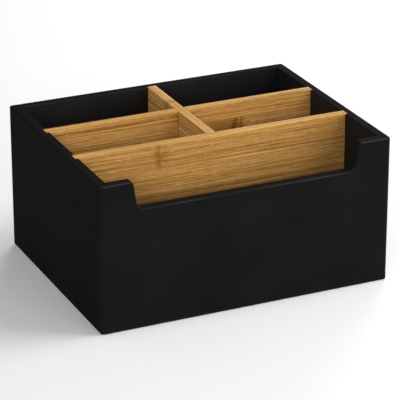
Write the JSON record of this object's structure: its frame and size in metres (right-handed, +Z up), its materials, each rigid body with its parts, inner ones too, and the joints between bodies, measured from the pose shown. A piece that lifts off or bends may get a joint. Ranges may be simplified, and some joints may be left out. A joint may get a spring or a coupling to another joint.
{
  "type": "desk organiser box with lift-out dividers",
  "caption": "Open rectangular desk organiser box in black-painted board, its front notched wide and low, with bamboo dividers that lift out of grooves.",
  "frame": {"origin": "middle of the flat underside", "axes": "+Z up, +X to the right along the front, the notched front wall faces -Y"},
  "size_m": [0.225, 0.175, 0.111],
  "materials": {
    "black_paint": "matt black paint on fibreboard",
    "bamboo": "clear satin lacquer on laminated bamboo",
    "steel_pin": "bright drawn wire"
  },
  "bodies": {
    "casing": {"front_panel": "black_paint", "back_panel": "black_paint", "left_panel": "black_paint", "right_panel": "black_paint", "bottom_panel": "black_paint", "front_left_lower_pin": "steel_pin", "front_left_upper_pin": "steel_pin", "front_right_lower_pin": "steel_pin", "front_right_upper_pin": "steel_pin", "back_left_lower_pin": "steel_pin", "back_left_upper_pin": "steel_pin", "back_right_lower_pin": "steel_pin", "back_right_upper_pin": "steel_pin", "floor_front_left_pin": "steel_pin", "floor_front_right_pin": "steel_pin", "floor_back_left_pin": "steel_pin", "floor_back_right_pin": "steel_pin", "floor_left_front_pin": "steel_pin", "floor_left_back_pin": "steel_pin", "floor_right_front_pin": "steel_pin", "floor_right_back_pin": "steel_pin"},
    "front_insert": {"front_divider": "bamboo"},
    "rear_insert": {"rear_divider": "bamboo"},
    "cross_insert": {"cross_divider": "bamboo"}
  },
  "joints": [
    {"name": "front_divider_lift", "type": "slide", "parent": "casing", "child": "front_insert", "axis": [0, 0, 1], "range_m": [0, 0.115]},
    {"name": "rear_divider_lift", "type": "slide", "parent": "casing", "child": "rear_insert", "axis": [0, 0, 1], "range_m": [0, 0.115]},
    {"name": "cross_divider_lift", "type": "slide", "parent": "rear_insert", "child": "cross_insert", "axis": [0, 0, 1], "range_m": [0, 0.115]}
  ]
}
